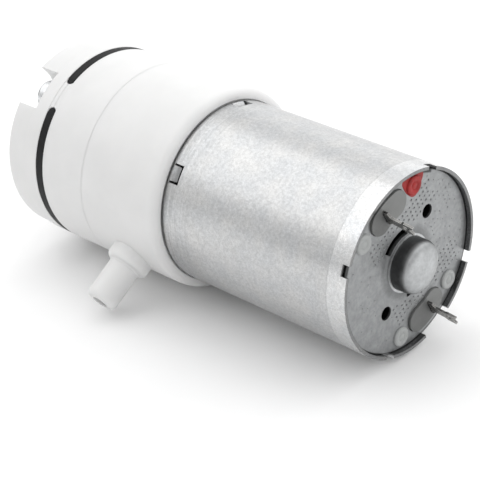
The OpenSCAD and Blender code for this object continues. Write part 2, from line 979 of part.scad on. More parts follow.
module diaphragm() {
    end_r = rubber_t / 2;
    color("dimgray") lie() {
        difference() {
            union() {
                difference() {
                    rod(head_r - slip, seat_end, rubber_end);
                    at_angles(screw_angles())
                        screw_room(pillar_r + end_r, seat_end - over, rubber_end + over);
                }
                at_angles(screw_angles())
                    for (s = [-1, 1])
                        intersection() {
                            translate([0, s * (pillar_r + end_r), bridge_s])
                                rotate([0, 90, 0])
                                    rod(end_r - slip, screw_place - 1, head_r);
                            rod(head_r - 2 * slip, seat_end, rubber_end);
                        }
            }
            at_angles(screw_angles())
                translate([channel_place, 0, 0])
                    rod(channel_r, seat_end - over, rubber_end + over);
            at_angles(cup_angles())
                translate([cup_place, 0, 0])
                    rod(cup_in_r, seat_end - over, rubber_end + over);
        }
        for (a = cup_angles())
            rotate([0, 0, a])
                cup(lift(a));
        slanted()
            at_angles(cup_angles())
                translate([cup_place, 0, 0]) {
                    rod(plug_r - plug_in, arm_top + stem_gap, arm_top + stem_gap + cup_wall + seat_gap);
                    rod(stem_r, arm_bottom - stem_gap - cut, arm_top + stem_gap + cut);
                    translate([0, 0, arm_bottom - stem_gap])
                        mirror([0, 0, 1])
                            cylinder(r1 = bulb_r, r2 = stem_r, h = bulb_l);
                }
    }
}

module valve_plate() {
    color("linen") lie() difference() {
        rod(plate_r - seat_gap, rubber_end, valve_end);
        at_angles(screw_angles()) {
            screw_room(plate_scallop, rubber_end - over, valve_end + over);
            translate([channel_place, 0, 0])
                rod(channel_r, rubber_end - over, valve_end + over);
        }
        at_angles(cup_angles()) {
            translate([inlet_place, 0, 0]) {
                rod(peg_r + slip, rubber_end - over, valve_end + over);
                for (i = [0 : inlet_holes - 1])
                    rotate([0, 0, i * 360 / inlet_holes])
                        translate([inlet_ring_r, 0, 0])
                            rod(inlet_hole_r, rubber_end - over, valve_end + over);
            }
            translate([outlet_hole_place, 0, 0])
                rod(outlet_hole_r, rubber_end - over, valve_end + over);
        }
        rod(peg_r + slip, rubber_end - over, valve_end + over);
        rod(knob_r + 0.4, rubber_end - over, rubber_end + valve_t / 2);
    }
}

module inlet_valves() {
    color("black") lie()
        at_angles(cup_angles())
            translate([inlet_place, 0, 0]) {
                rod(umbrella_r, rubber_end - umbrella_t, rubber_end);
                rod(peg_r, rubber_end - cut, valve_end + slip + cut);
                rod(knob_r, valve_end + slip, valve_end + slip + 0.6);
            }
}

module outlet_valve() {
    color("black") lie() {
        rod(flap_r, valve_end, valve_end + flap_t);
        rod(peg_r, rubber_end + slip, valve_end + cut);
        rod(knob_r, rubber_end + slip, rubber_end + valve_t / 2 - slip);
    }
}

module seal_ring() {
    color("black") lie()
        translate([0, 0, valve_end + seal_r])
            rotate_extrude()
                translate([seal_place, 0])
                    circle(r = seal_r - cut, $fn = fine_fn);
}

module cover() {
    shoulder_s = cover_end + outlet_step;
    seal_w = seal_r + cut;
    color("white") lie() difference() {
        union() {
            rod(head_r, rubber_end, flange_end);
            rounded_rod(crown_r, flange_end - cut, cover_end, 0.4);
            at_angles(screw_angles())
                bridge(bridge_s, rubber_end + cut);
            rounded_rod(outlet_foot_r, cover_end - cut, shoulder_s, 0.3);
            nozzle(cover_end - cut, shoulder_s, cover_end + outlet_l);
        }
        // Notches for the screws' heads
        at_angles(screw_angles()) {
            screw_room(notch_w / 2, notch_s, cover_end + over);
            translate([screw_place, 0, 0])
                rod(screw_r + slip, bridge_s - over, notch_s + over);
        }
        // Moulded hollows between the screws
        at_angles(cup_angles())
            bean(mark_place, mark_w, mark_arc, cover_end - mark_depth, cover_end + over);
        // Seat of the valve plate, gallery and outlet room
        difference() {
            rod(plate_r, rubber_end - over, valve_end);
            at_angles(screw_angles())
                screw_room(plate_scallop - seat_gap, bridge_s - over, valve_end + over);
        }
        difference() {
            tube(gallery_out, gallery_in, valve_end - cut, valve_end + gallery_l);
            at_angles(screw_angles())
                translate([screw_place, 0, 0])
                    rod(notch_w / 2 + gallery_wall, valve_end - over, cover_end);
        }
        rod(outlet_room_r, valve_end - cut, valve_end + outlet_room_l);
        tube(seal_place + seal_w, seal_place - seal_w, valve_end - cut, valve_end + seal_r + seal_w);
        rod(nozzle_bore_r, valve_end, cover_end + outlet_l + over);
    }
}

// Screw along the axis with a cross recess, its head's seat at z = 0 and its shank below
module screw(shank_r, head_r, head_h, length) {
    recess_w = shank_r * 0.45;
    difference() {
        union() {
            mirror([0, 0, 1])
                rounded_rod(shank_r, -cut, length, shank_r / 4);
            rounded_rod(head_r, 0, head_h, head_h / 3);
        }
        for (a = [0, 90])
            rotate([0, 0, a])
                translate([-head_r * 0.6, -recess_w / 2, head_h * 0.45])
                    cube([head_r * 1.2, recess_w, head_h]);
    }
}

module motor_screws() {
    color("silver") lie()
        at_angles(insert_angles())
            translate([motor_screw_place, 0, floor_s])
                screw(motor_screw_r, motor_screw_head_r, motor_screw_head_h, motor_screw_l);
}

module cover_screws() {
    color("silver") lie()
        at_angles(screw_angles())
            translate([screw_place, 0, notch_s])
                screw(screw_r, screw_head_r, screw_head_h, screw_l);
}

motor_can();
end_plate();
plate_rivets();
polarity_rivet();
brush_holder();
terminals();
brush_arms();
carbon_brushes();
magnets();
magnet_clips();
rear_bushing();
front_bushing();
motor_screws();
crankcase();
diaphragm_seat();
diaphragm();
valve_plate();
inlet_valves();
outlet_valve();
seal_ring();
cover();
cover_screws();
shaft();
armature_core();
core_insulators();
windings();
commutator_hub();
commutator_bars();
varistor();
thrust_washers();
eccentric();
crank_pin();
rocker();
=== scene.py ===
"""Looks of a mini diaphragm air pump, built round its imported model."""

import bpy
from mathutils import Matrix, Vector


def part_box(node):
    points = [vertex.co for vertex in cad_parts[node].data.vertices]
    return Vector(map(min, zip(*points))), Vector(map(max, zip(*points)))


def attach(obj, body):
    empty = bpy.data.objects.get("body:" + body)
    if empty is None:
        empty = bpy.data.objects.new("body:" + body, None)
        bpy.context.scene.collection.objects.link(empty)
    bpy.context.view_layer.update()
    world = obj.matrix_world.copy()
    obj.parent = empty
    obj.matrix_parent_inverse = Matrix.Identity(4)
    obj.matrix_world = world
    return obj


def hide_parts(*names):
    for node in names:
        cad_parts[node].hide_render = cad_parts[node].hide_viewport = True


bl_info = {
    "name": "Mini Air Pump Looks",
    "version": (1, 0, 0),
    "blender": (4, 5, 0),
    "location": "3D View > Sidebar > Air Pump",
    "description": "Finishes, small pieces and stage of a mini diaphragm air pump",
    "category": "Object",
}

import math
import random

import bmesh
import bpy
from bpy.props import FloatProperty, FloatVectorProperty, PointerProperty
from mathutils import Vector

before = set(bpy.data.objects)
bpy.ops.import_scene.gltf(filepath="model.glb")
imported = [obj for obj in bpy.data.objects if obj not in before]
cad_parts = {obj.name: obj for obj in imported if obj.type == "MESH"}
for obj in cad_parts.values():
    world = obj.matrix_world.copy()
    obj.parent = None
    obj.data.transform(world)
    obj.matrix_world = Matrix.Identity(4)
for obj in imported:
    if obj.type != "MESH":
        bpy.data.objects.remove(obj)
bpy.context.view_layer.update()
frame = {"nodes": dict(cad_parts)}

MM = 0.001

# Height of a rivet's head above the end plate
RIVET_HEAD = 0.35 * MM

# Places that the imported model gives
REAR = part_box("motor_can")[0].x
CAN_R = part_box("motor_can")[1].y
PLATE_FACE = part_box("plate_rivets")[0].x + RIVET_HEAD
RED_LOW, RED_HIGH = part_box("polarity_rivet")
RED_RIVET = Vector((0, (RED_LOW.y + RED_HIGH.y) / 2, (RED_LOW.z + RED_HIGH.z) / 2))
RIVET_PLACE = RED_RIVET.length
RED_TURN = math.atan2(RED_RIVET.z, RED_RIVET.y)

# Angles on the motor's end about its axis, and the round holes' distance from it
RIVET_SIDE = math.radians(30)
INSERT_TURN = RED_TURN - RIVET_SIDE
TERMINAL_TURN = INSERT_TURN - math.radians(4.5)
EYE_TURN = INSERT_TURN + math.radians(59)
EYE_PLACE = 6.6 * MM
NOTCH_TURN = INSERT_TURN - math.radians(47.5)

# What the end plate's pricks keep clear of: boss, inserts, rivets, round holes and the plate's edge
BOSS_REACH = 5.15 * MM
INSERT_FROM = 7.0 * MM
INSERT_HALF_ARC = math.radians(25)
RIVET_REACH = 1.75 * MM
EYE_REACH = 1.25 * MM
PRICKED_R = 10.9 * MM


def frame_objects():
    """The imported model's objects by node name."""
    return frame["nodes"]


def on_plate(radius, angle):
    """Place on the end plate's face at a distance from the axis and an angle about it."""
    return Vector((PLATE_FACE, radius * math.cos(angle), radius * math.sin(angle)))


# Materials

# Rays that a Bevel node sends out to find a near edge
BEVEL_SAMPLES = 6

# Place of the colour among the results of a Mix node
MIXED_COLOUR = 2

# Middle parts of a noise's range, which a finish spreads out to its full contrast
WIDE, NARROW = (0.3, 0.7), (0.35, 0.65)


class Finish:
    """One material: a Principled shader and the textures that feed it."""

    def __init__(self, name, colour, metallic=0.0, roughness=0.5, extra=None):
        self.made = bpy.data.materials.new(name)
        self.made.use_nodes = True
        self.tree = self.made.node_tree
        self.shader = self.tree.nodes["Principled BSDF"]
        self.colour = (*colour, 1.0)
        self.shader.inputs["Base Color"].default_value = self.colour
        self.shader.inputs["Metallic"].default_value = metallic
        self.shader.inputs["Roughness"].default_value = roughness
        for socket, value in (extra or {}).items():
            self.shader.inputs[socket].default_value = value
        self.place = self.node("ShaderNodeTexCoord").outputs["Object"]

    def node(self, kind, **settings):
        made = self.tree.nodes.new(kind)
        for name, value in settings.items():
            setattr(made, name, value)
        return made

    def feed(self, socket, value):
        """Links an output to a socket, or sets the socket to a number."""
        if isinstance(value, bpy.types.NodeSocket):
            self.tree.links.new(value, socket)
        else:
            socket.default_value = value

    def maths(self, operation, first, second=0.0):
        made = self.node("ShaderNodeMath", operation=operation)
        self.feed(made.inputs[0], first)
        self.feed(made.inputs[1], second)
        return made.outputs["Value"]

    def noise(self, size, detail=2.0, stretch=(1, 1, 1)):
        """Noise from 0 to 1 whose grains are about that size."""
        scaled = self.node("ShaderNodeMapping")
        self.feed(scaled.inputs["Vector"], self.place)
        scaled.inputs["Scale"].default_value = stretch
        made = self.node("ShaderNodeTexNoise")
        self.feed(made.inputs["Vector"], scaled.outputs["Vector"])
        made.inputs["Scale"].default_value = 1 / size
        made.inputs["Detail"].default_value = detail
        return made.outputs["Fac"]

    def span(self, value, low, high, to_low=0.0, to_high=1.0):
        """Maps a value from one range to another and holds it there."""
        made = self.node("ShaderNodeMapRange")
        self.feed(made.inputs["Value"], value)
        limits = {"From Min": low, "From Max": high, "To Min": to_low, "To Max": to_high}
        for name, limit in limits.items():
            made.inputs[name].default_value = limit
        return made.outputs["Result"]

    def along(self, axis):
        """One coordinate of the place on the piece, in metres."""
        parts = self.node("ShaderNodeSeparateXYZ")
        self.feed(parts.inputs["Vector"], self.place)
        return parts.outputs[axis]

    def from_axis(self):
        """Distance of the place from the motor's axis, in metres."""
        sides = [self.maths("ABSOLUTE", self.along(axis)) for axis in "YZ"]
        squares = [self.maths("POWER", side, 2.0) for side in sides]
        return self.maths("SQRT", self.maths("ADD", *squares))

    def towards(self, angle):
        """Distance of the place from the axis in one direction across it, in metres."""
        y_share = self.maths("MULTIPLY", self.along("Y"), math.cos(angle))
        z_share = self.maths("MULTIPLY", self.along("Z"), math.sin(angle))
        return self.maths("ADD", y_share, z_share)

    def facing_back(self):
        """1 on faces that look to the rear, along -X, and 0 elsewhere."""
        parts = self.node("ShaderNodeSeparateXYZ")
        self.feed(parts.inputs["Vector"], self.node("ShaderNodeTexCoord").outputs["Normal"])
        return self.span(parts.outputs["X"], low=-0.75, high=-0.9)

    def scaled(self, colour, factor):
        """A colour made darker or brighter by a factor."""
        made = self.node("ShaderNodeVectorMath", operation="SCALE")
        self.feed(made.inputs[0], colour)
        self.feed(made.inputs["Scale"], factor)
        return made.outputs["Vector"]

    def shade(self, factor, low, high, under=None):
        """Colour from low to high times the finish's own by a factor, with under in place of the low one."""
        made = self.node("ShaderNodeMix", data_type="RGBA")
        self.feed(made.inputs["Factor"], factor)
        for socket, share in (("A", low), ("B", high)):
            colour = [min(1.0, part * share) for part in self.colour[:3]]
            self.mix_socket(made, socket).default_value = (*colour, 1.0)
        if under is not None:
            self.feed(self.mix_socket(made, "A"), under)
        return made.outputs[MIXED_COLOUR]

    @staticmethod
    def mix_socket(mix, name):
        """The colour socket A or B of a Mix node."""
        return next(socket for socket in mix.inputs if socket.name == name and socket.type == "RGBA")

    def tinted(self, colour, factor, low, high):
        """A colour multiplied by a tint that goes from low to high by a factor."""
        mix = self.node("ShaderNodeMix", data_type="RGBA")
        self.feed(mix.inputs["Factor"], factor)
        self.mix_socket(mix, "A").default_value = (*low, 1.0)
        self.mix_socket(mix, "B").default_value = (*high, 1.0)
        made = self.node("ShaderNodeVectorMath", operation="MULTIPLY")
        self.feed(made.inputs[0], colour)
        self.feed(made.inputs[1], mix.outputs[MIXED_COLOUR])
        return made.outputs["Vector"]

    def edge_mask(self, radius):
        """1 within about that distance of a sharp edge, and 0 on open faces."""
        bevel = self.node("ShaderNodeBevel", samples=BEVEL_SAMPLES)
        bevel.inputs["Radius"].default_value = radius
        dot = self.node("ShaderNodeVectorMath", operation="DOT_PRODUCT")
        self.feed(dot.inputs[0], bevel.outputs["Normal"])
        self.feed(dot.inputs[1], self.node("ShaderNodeNewGeometry").outputs["Normal"])
        return self.span(dot.outputs["Value"], low=0.99, high=0.86)

    def paint(self, colour):
        self.feed(self.shader.inputs["Base Color"], colour)

    def rough(self, roughness):
        self.feed(self.shader.inputs["Roughness"], roughness)

    def round_edges(self, radius):
        """Makes edges catch the light as if rounded by that radius."""
        made = self.node("ShaderNodeBevel", samples=BEVEL_SAMPLES)
        made.inputs["Radius"].default_value = radius
        self.feed(self.shader.inputs["Normal"], made.outputs["Normal"])

    def relief(self, height, depth):
        """Surface relief from a height of 0 to 1, with its depth in metres."""
        made = self.node("ShaderNodeBump")
        made.inputs["Distance"].default_value = depth
        self.feed(made.inputs["Height"], height)
        below = self.shader.inputs["Normal"].links
        if below:
            self.feed(made.inputs["Normal"], below[0].from_socket)
        self.feed(self.shader.inputs["Normal"], made.outputs["Normal"])


# The can's zinc: brightness of the band and of the line at its end, and the painted shade on the rim's inner
# wall, the pressed stops and the rim's end face
BAND_SHINE, LINE_SHINE = 1.16, 0.88
WALL_SHADE, RIM_SHADE = 0.74, 0.6

# The can's streaks: where they set in and where they are full, how full they get, and how dark a full one is
STREAKS_FROM, STREAKS_FULL = REAR + 23 * MM, REAR + 30 * MM
STREAKS_MOST, STREAKS_DARK = 0.8, 0.2


def zinc_can(finishes, details):
    """Bright zinc with a fine mottled grain, turned smooth along the rear rim, with painted shade in its sunk
    places and on the rim's end face.
    """
    made = Finish("mottled_zinc", finishes.can, metallic=1.0)
    fine = made.noise(0.13 * MM)
    grain = made.noise(0.4 * MM, detail=3.0)
    cloud = made.noise(2.8 * MM, detail=3.0)
    drawn = made.noise(0.3 * MM, detail=3.0, stretch=(1, 0.05, 0.05))
    mottled = made.maths("MULTIPLY", fine, 0.45)
    for part, share in ((grain, 0.37), (cloud, 0.18)):
        mottled = made.maths("ADD", mottled, made.maths("MULTIPLY", part, share))
    body = made.shade(made.span(mottled, 0.39, 0.61), 0.83, 1.12)
    cool, warm = (0.992, 1.0, 1.012), (1.008, 1.0, 0.99)
    body = made.tinted(body, made.span(cloud, *NARROW), cool, warm)
    across = made.along("X")
    front = made.span(across, STREAKS_FROM, STREAKS_FULL, 0.0, STREAKS_MOST)
    streaks = made.maths("MULTIPLY", made.span(drawn, 0.45, 0.6), front)
    body = made.scaled(body, made.span(streaks, 0.0, 1.0, 1.0, 1 - STREAKS_DARK))
    band_end = REAR + details.band
    band = made.span(across, band_end - 0.05 * MM, band_end + 0.05 * MM, 1.0, 0.0)
    off_line = made.maths("ABSOLUTE", made.maths("SUBTRACT", across, band_end))
    line = made.span(off_line, 0.02 * MM, 0.12 * MM, LINE_SHINE, 1.0)
    bare = made.scaled(body, made.maths("MULTIPLY", line, made.span(band, 0.0, 1.0, 1.0, BAND_SHINE)))
    near_rear = made.span(across, REAR + 2 * MM, REAR + 3 * MM, 1.0, 0.45)
    # Painted shade: surfaces sunk inside the can's outer skin (the rim's inner wall, the pressed stops) and
    # faces looking to the rear are darkened, most near the rear rim
    wall = made.span(made.from_axis(), CAN_R - 0.45 * MM, CAN_R - 0.04 * MM, WALL_SHADE, 0.0)
    rim = made.maths("MULTIPLY", made.facing_back(), RIM_SHADE)
    shaded = made.maths("MULTIPLY", made.maths("MAXIMUM", wall, rim), near_rear)
    made.paint(made.scaled(bare, made.maths("SUBTRACT", 1.0, shaded)))
    rough = made.span(mottled, *WIDE, 0.4, 0.3)
    made.rough(made.maths("SUBTRACT", rough, made.maths("MULTIPLY", band, 0.06)))
    made.round_edges(details.metal_edge)
    made.relief(drawn, 0.0015 * MM)
    made.relief(grain, 0.005 * MM)
    made.relief(fine, 0.0015 * MM)
    return made


# Painted light on the end plate, as a tone against the distance from the axis in mm: painted highlight on the
# cap and the collar, painted shade on the wall and the slope, and the plain flat
PLATE_PAINTED_LIGHT = (
    (0.0, 1.6), (2.2, 1.55), (3.12, 1.15), (3.35, 0.3), (3.465, 0.24), (3.5, 1.95), (3.72, 1.9), (3.8, 0.72),
    (4.4, 0.82), (4.8, 1.0),
)
PAINTED_LIGHT_REACH, BRIGHTEST_PAINTED_LIGHT = 5.0, 2.0

# Painted shade behind a notch of the rim: where it sets in outwards, where it ends aside, and its darkness
NOTCH_SHADE_OUT = (11.1 * MM, 11.3 * MM)
NOTCH_SHADE_ASIDE = (0.75 * MM, 1.0 * MM)
NOTCH_SHADE_DARK = 0.8

# Painted shade on the plate's cut edges by their place along the axis, and on its margin and outer side by
# their distance from it
CUT_EDGE, CUT_EDGE_SHADE = (PLATE_FACE + 0.13 * MM, PLATE_FACE + 0.35 * MM), 0.08
MARGIN, MARGIN_SHADE = (11.55 * MM, 11.62 * MM), 0.75
OUTER_SIDE, OUTER_SIDE_SHADE = (11.4 * MM, 11.5 * MM), 0.9


def notch_shade(made):
    """Painted shade on the plate behind the two narrow notches on either side of the upper insert."""
    first, second = made.towards(NOTCH_TURN), made.towards(NOTCH_TURN + math.pi / 2)
    spots = []
    for out, aside in ((first, second), (second, first)):
        near_rim = made.span(out, *NOTCH_SHADE_OUT, 0.0, NOTCH_SHADE_DARK)
        in_notch = made.span(made.maths("ABSOLUTE", aside), *NOTCH_SHADE_ASIDE, 1.0, 0.0)
        spots.append(made.maths("MULTIPLY", near_rim, in_notch))
    return made.maths("MAXIMUM", *spots)


def plate_steel(finishes, details):
    """Grey stamped steel with a mottled cap and flat, painted highlight on the cap and collar, and painted
    shade on the drawn wall and the cut edges.
    """
    made = Finish("stamped_steel", finishes.plate, metallic=0.9)
    cloud = made.noise(1.6 * MM, detail=4.0)
    speck = made.noise(0.45 * MM, detail=4.0)
    grain = made.noise(0.2 * MM, detail=3.0)
    flat = made.shade(made.span(cloud, *NARROW), 0.93, 1.06)
    flat = made.scaled(flat, made.span(speck, *WIDE, 0.9, 1.1))
    # Painted highlight and painted shade round the boss, by distance from the axis
    light_curve = made.node("ShaderNodeFloatCurve")
    curve = light_curve.mapping.curves[0]
    while len(curve.points) < len(PLATE_PAINTED_LIGHT):
        curve.points.new(0.5, 0.5)
    for point, (radius, tone) in zip(curve.points, PLATE_PAINTED_LIGHT):
        point.location = (radius / PAINTED_LIGHT_REACH, tone / BRIGHTEST_PAINTED_LIGHT)
        point.handle_type = "VECTOR"
    light_curve.mapping.update()
    off_axis = made.from_axis()
    made.feed(light_curve.inputs["Value"], made.span(off_axis, 0.0, PAINTED_LIGHT_REACH * MM))
    painted_lit = made.scaled(made.scaled(flat, BRIGHTEST_PAINTED_LIGHT), light_curve.outputs["Value"])
    # Painted shade: the deep cut edges, the margin by the rim, the outer side and the places behind the
    # notches are darkened
    cut_edge_shade = made.span(made.along("X"), *CUT_EDGE, 1.0, CUT_EDGE_SHADE)
    margin_shade = made.span(off_axis, *MARGIN, 0.0, MARGIN_SHADE)
    outer = made.maths("MULTIPLY", made.span(off_axis, *OUTER_SIDE), OUTER_SIDE_SHADE)
    side = made.maths("MULTIPLY", outer, made.maths("SUBTRACT", 1.0, made.facing_back()))
    painted_shade = made.maths("MAXIMUM", made.maths("MAXIMUM", margin_shade, side), notch_shade(made))
    made.paint(made.scaled(made.scaled(painted_lit, cut_edge_shade), made.maths("SUBTRACT", 1.0, painted_shade)))
    made.rough(made.span(grain, *WIDE, 0.36, 0.48))
    made.round_edges(details.metal_edge)
    made.relief(cloud, 0.012 * MM)
    made.relief(speck, 0.008 * MM)
    made.relief(grain, 0.004 * MM)
    return made


def moulded(name, colour, roughness=0.42, soft=0.12, edge=0.1 * MM):
    """Moulded plastic: slightly waxy, with a fine spark-eroded grain and faint flow clouds."""
    wax = {"Subsurface Weight": soft, "Subsurface Scale": 0.9 * MM, "Subsurface Radius": (1, 0.96, 0.92),
           "IOR": 1.47}
    made = Finish(name, colour, extra=wax)
    flow = made.noise(4.5 * MM, detail=3.0)
    grain = made.noise(0.12 * MM)
    made.paint(made.shade(made.span(flow, *WIDE), 0.975, 1.02))
    made.rough(made.span(flow, *WIDE, roughness - 0.04, roughness + 0.05))
    made.round_edges(edge)
    made.relief(grain, 0.0012 * MM)
    return made


def insert_plastic(colour):
    """Grey plastic round the terminals: painted light on the half on one side of each terminal and painted
    shade on the other, and painted shade behind the plate.
    """
    made = Finish("insert_plastic", colour)
    side = made.span(made.towards(TERMINAL_TURN + math.pi / 2), -0.15 * MM, 0.15 * MM)
    cloud = made.noise(0.9 * MM, detail=3.0)
    # Painted light and painted shade: one side of the terminal's line lighter, the other darker
    halves = made.shade(side, 0.78, 1.22)
    worn = made.shade(made.span(cloud, 0.4, 0.75, 0.0, 0.35), 1.0, 1.3, under=halves)
    # Painted shade on what lies behind the plate's face
    behind = made.span(made.along("X"), PLATE_FACE + 0.3 * MM, PLATE_FACE + 0.9 * MM)
    made.paint(made.shade(behind, 1.0, 0.12, under=worn))
    made.rough(made.span(cloud, *WIDE, 0.4, 0.54))
    made.round_edges(0.08 * MM)
    made.relief(made.noise(0.12 * MM), 0.002 * MM)
    return made


def rubber(colour):
    """Black rubber with a dusty bloom."""
    made = Finish("black_rubber", colour, extra={"Specular IOR Level": 0.2})
    bloom = made.noise(0.8 * MM, detail=4.0)
    made.paint(made.shade(made.span(bloom, 0.35, 0.75), 0.8, 1.9))
    made.rough(made.span(bloom, *WIDE, 0.45, 0.6))
    made.round_edges(0.4 * MM)
    made.relief(made.noise(0.15 * MM), 0.004 * MM)
    return made


def bright_metal(name, colour, roughness=0.3, scratch=(1, 1, 1)):
    """Plated or drawn metal with fine wear, which scratch draws out or packs along an axis."""
    made = Finish(name, colour, metallic=1.0)
    grain_size = 0.25 * MM
    wear = made.noise(grain_size, detail=3.0, stretch=scratch)
    cloud = made.noise(grain_size * 5)
    made.paint(made.shade(made.span(cloud, *WIDE), 0.85, 1.1))
    made.rough(made.span(wear, *WIDE, roughness - 0.06, roughness + 0.1))
    made.round_edges(0.04 * MM)
    made.relief(wear, 0.003 * MM)
    return made


def tinned_sheet(colour):
    """Thin dull tin over steel, its edges rubbed bright and given a painted highlight."""
    made = Finish("tinned_sheet", colour, metallic=1.0)
    stain = made.noise(0.5 * MM, detail=4.0)
    body = made.shade(made.span(stain, *NARROW), 0.8, 1.2)
    # Painted highlight along the edges, on top of their rubbed wear
    made.paint(made.shade(made.edge_mask(0.06 * MM), 1.0, 2.8, under=body))
    made.rough(made.span(stain, *WIDE, 0.18, 0.3))
    made.relief(stain, 0.002 * MM)
    return made


def layered(name, colour, pitch, roughness=0.4):
    """Metal in thin layers or turns, square to the motor's axis."""
    made = Finish(name, colour, metallic=1.0)
    wave = made.maths("SINE", made.maths("MULTIPLY", made.along("X"), 2 * math.pi / pitch))
    height = made.span(wave, -1.0, 1.0)
    made.paint(made.shade(height, 0.55, 1.15))
    made.relief(height, 0.03 * MM)
    made.rough(made.span(made.noise(0.3 * MM), *WIDE, roughness - 0.06, roughness + 0.08))
    return made


def matt_ceramic(name, colour):
    """Sintered or pressed dark material with an open grain."""
    made = Finish(name, colour, roughness=0.7)
    grain = made.noise(0.3 * MM, detail=4.0)
    made.paint(made.shade(made.span(grain, *NARROW), 0.75, 1.3))
    made.relief(grain, 0.015 * MM)
    return made


def red_paint(colour):
    """Brushed-on red paint, thicker and glossier in places."""
    made = Finish("red_paint", colour, extra={"Specular IOR Level": 0.3})
    pool = made.noise(0.9 * MM, detail=3.0)
    made.paint(made.shade(made.span(pool, *NARROW), 0.82, 1.18))
    made.rough(made.span(pool, *WIDE, 0.38, 0.52))
    made.relief(pool, 0.02 * MM)
    return made


# Meshes

# Edges sharper than this stay crisp on new pieces, and on the pricked plate
CRISP = math.radians(35)
PLATE_CRISP = math.radians(30)

# Corners nearer than this become one before the plate is punched
WELD_REACH = 0.0005 * MM


def dress(name, finish):
    """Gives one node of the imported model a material."""
    piece = frame_objects()[name]
    piece.data.materials.clear()
    piece.data.materials.append(finish.made)
    return piece


def new_piece(name, build, finish):
    """Makes a mesh piece that rides on the pump's body, built by a function on a bmesh."""
    mesh = bpy.data.meshes.new(name)
    work = bmesh.new()
    build(work)
    bmesh.ops.recalc_face_normals(work, faces=work.faces)
    work.to_mesh(mesh)
    work.free()
    mesh.materials.append(finish.made)
    smooth_by_angle(mesh, CRISP)
    piece = bpy.data.objects.new(name, mesh)
    bpy.context.scene.collection.objects.link(piece)
    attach(piece, "pump")
    return piece


def smooth_by_angle(mesh, sharpest):
    """Smooth shading, with the edges sharper than that angle kept crisp."""
    work = bmesh.new()
    work.from_mesh(mesh)
    for face in work.faces:
        face.smooth = True
    for edge in work.edges:
        edge.smooth = edge.calc_face_angle(math.pi) < sharpest
    work.to_mesh(mesh)
    work.free()


def full_turn(steps):
    """Directions across the X axis, evenly spaced round a full turn."""
    turns = [2 * math.pi * step / steps for step in range(steps)]
    return [Vector((0, math.cos(turn), math.sin(turn))) for turn in turns]


def lathe(work, profile, centre):
    """Turns a profile of (distance from the axis, depth) pairs about a line along X."""
    steps = 48
    rows = []
    for radius, depth in profile:
        place = centre + Vector((depth, 0, 0))
        if radius == 0:
            rows.append([work.verts.new(place)] * steps)
        else:
            rows.append([work.verts.new(place + arm * radius) for arm in full_turn(steps)])
    for first, second in zip(rows, rows[1:]):
        for step in range(steps):
            after = (step + 1) % steps
            corners = (first[step], first[after], second[after], second[step])
            work.faces.new(list(dict.fromkeys(corners)))


# A rivet's radius in mm against the share of its head's height, and against the depth in mm behind the plate
RIVET_OUTSIDE = (
    (0, 0.86), (0.32, 0.9), (0.42, 0.72), (0.52, 0.62), (0.62, 0.74), (0.74, 0.95), (1.0, 1.0), (1.16, 0.9),
    (1.26, 0.6), (1.3, 0.25), (1.3, 0),
)
RIVET_INSIDE = ((0.7, 0.02), (0.7, 2.08), (1.04, 2.1), (0.95, 2.3), (0.6, 2.42), (0, 2.45))


def rivet_profile(details):
    """A staked rivet: flat head with a ring pressed in it, shank, and the small head inside."""
    outside = [(radius * MM, -share * details.rivet_height) for radius, share in RIVET_OUTSIDE]
    return outside + [(radius * MM, depth * MM) for radius, depth in RIVET_INSIDE]


# The pricks' grid: seed, rows to each side of the middle, and how far it is moved, in pitches
PRICK_SEED = 7
PRICK_ROWS = 16
PRICK_SHIFT = (0.13, 0.33)

# Where the pricks are pressed deep and where they are faint, and the share that is left in each place
PRESSED_UP = (4.1 * MM, 7.4 * MM)
PRESSED_SIDE = (-8 * MM, 4.7 * MM)
FAINT_SIDE = -4 * MM
PRESSED_SHARE, FAINT_SHARE, WORN_SHARE = 0.95, 0.45, 0.1

# From and to how strong a prick is, where they are pressed deep and elsewhere
DEEP, SLIGHT = (0.75, 1.0), (0.3, 0.6)


def prick_places(details):
    """Places and strengths of the pricks: a square grid along the inserts, worn away in places."""
    chance = random.Random(PRICK_SEED)
    pitch = details.prick_pitch
    along = Vector((0, math.cos(INSERT_TURN), math.sin(INSERT_TURN)))
    aside = Vector((0, math.sin(INSERT_TURN), -math.cos(INSERT_TURN)))
    rows = range(-PRICK_ROWS, PRICK_ROWS + 1)
    found = []
    for row in rows:
        for column in rows:
            up = (row + PRICK_SHIFT[0]) * pitch
            side = (column + PRICK_SHIFT[1]) * pitch
            in_rows = PRESSED_UP[0] < abs(up) < PRESSED_UP[1]
            pressed = in_rows and PRESSED_SIDE[0] < side < PRESSED_SIDE[1]
            worn_share = FAINT_SHARE if side < FAINT_SIDE else WORN_SHARE
            keep = chance.random() < (PRESSED_SHARE if pressed else worn_share)
            strength = chance.uniform(*(DEEP if pressed else SLIGHT))
            place = along * up + aside * side
            if keep and clear_of_holes(place):
                found.append((place, strength))
    return found


def clear_of_holes(place):
    """Whether a prick at that place is on the bare plate."""
    radius = place.length
    angle = math.atan2(place.z, place.y)
    on_boss = radius < BOSS_REACH
    off_insert = abs(math.remainder(angle - INSERT_TURN, math.pi))
    on_insert = radius > INSERT_FROM and off_insert < INSERT_HALF_ARC
    halves = (0, math.pi)
    rivets = [INSERT_TURN + side * RIVET_SIDE + half for side in (-1, 1) for half in halves]
    discs = [(on_plate(RIVET_PLACE, turn), RIVET_REACH) for turn in rivets]
    discs += [(on_plate(EYE_PLACE, EYE_TURN + half), EYE_REACH) for half in halves]
    on_disc = any((place - centre).yz.length < reach for centre, reach in discs)
    return radius < PRICKED_R and not (on_boss or on_insert or on_disc)


